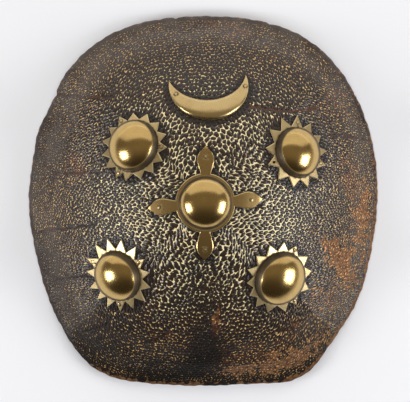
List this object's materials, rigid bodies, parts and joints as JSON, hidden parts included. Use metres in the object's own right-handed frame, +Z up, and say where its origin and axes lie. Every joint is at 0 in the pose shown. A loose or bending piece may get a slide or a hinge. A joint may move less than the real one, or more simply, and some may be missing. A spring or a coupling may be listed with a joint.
{
  "type": "dhal shield",
  "caption": "Domed rawhide shield with polished brass bosses on rayed sun plates, a leafed middle plate and a crescent moon; iron ring bolts carry two leather grips behind.",
  "frame": {"origin": "on the ground under the middle of the shield's outline", "axes": "+Z up out of the domed outer face, +Y towards the crescent, +X to the right as the face is seen with the crescent up"},
  "size_m": [0.4466, 0.4702, 0.1573],
  "materials": {
    "hide": "dark lacquered rawhide, glossy, its raised grain worn pale",
    "boss_brass": "polished, faintly scratched",
    "sun_plate_brass": "satin with rubbed bright edges",
    "leaf_plate_brass": "satin, darkened, with bright bevelled edges",
    "crescent_brass": "polished, gently rippled",
    "rivet_brass": "worn heads in dark rings",
    "ring_iron": "dark forged iron, dull",
    "grip_leather": "plain brown leather, worn smooth"
  },
  "bodies": {
    "root": {"hide": "hide", "middle_plate": "leaf_plate_brass", "boss_middle": "boss_brass", "sun_plate_upper_left": "sun_plate_brass", "boss_upper_left": "boss_brass", "sun_plate_upper_right": "sun_plate_brass", "boss_upper_right": "boss_brass", "sun_plate_lower_left": "sun_plate_brass", "boss_lower_left": "boss_brass", "sun_plate_lower_right": "sun_plate_brass", "boss_lower_right": "boss_brass", "crescent": "crescent_brass", "rivet_upper_left_1": "rivet_brass", "rivet_upper_left_2": "rivet_brass", "rivet_upper_left_3": "rivet_brass", "rivet_upper_right_1": "rivet_brass", "rivet_upper_right_2": "rivet_brass", "rivet_lower_left_1": "rivet_brass", "rivet_lower_left_2": "rivet_brass", "rivet_lower_left_3": "rivet_brass", "rivet_lower_right_1": "rivet_brass", "rivet_lower_right_2": "rivet_brass", "rivet_leaf_1": "rivet_brass", "rivet_leaf_2": "rivet_brass", "rivet_leaf_3": "rivet_brass", "rivet_leaf_4": "rivet_brass", "rivet_crescent_left": "rivet_brass", "rivet_crescent_right": "rivet_brass", "ring_bolt_upper_left": "ring_iron", "ring_upper_left": "ring_iron", "ring_bolt_upper_right": "ring_iron", "ring_upper_right": "ring_iron", "ring_bolt_lower_left": "ring_iron", "ring_lower_left": "ring_iron", "ring_bolt_lower_right": "ring_iron", "ring_lower_right": "ring_iron", "grip_left": "grip_leather", "grip_right": "grip_leather"}
  },
  "joints": []
}
